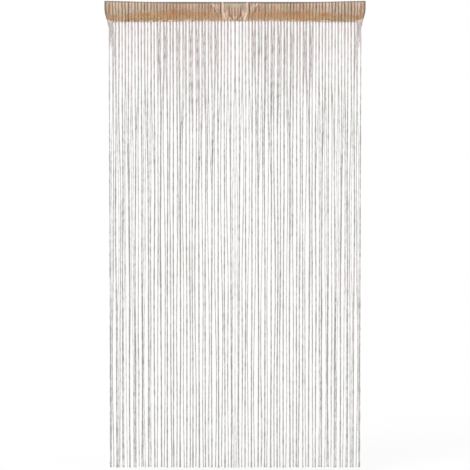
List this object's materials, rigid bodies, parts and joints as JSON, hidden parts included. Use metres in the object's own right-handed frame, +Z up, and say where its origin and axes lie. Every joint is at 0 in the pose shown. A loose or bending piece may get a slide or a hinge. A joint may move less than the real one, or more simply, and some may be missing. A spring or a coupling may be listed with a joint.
{
  "type": "string curtain with a rod-pocket heading",
  "caption": "Door or window curtain of long, thin taupe strings hanging from a ribbed tan knitted heading with a pocket for a rod.",
  "frame": {"origin": "middle of the heading's top edge, the line in which a rod in the pocket carries the curtain", "axes": "+Z up, +X along the heading to the viewer's right, and the front faces -Y"},
  "size_m": [1.398, 0.0288, 2.4998],
  "materials": {
    "knitted_heading": "ribbed knit",
    "string_yarn": "twisted yarn"
  },
  "bodies": {
    "root": {"heading": "knitted_heading", "strings": "string_yarn"}
  },
  "joints": []
}
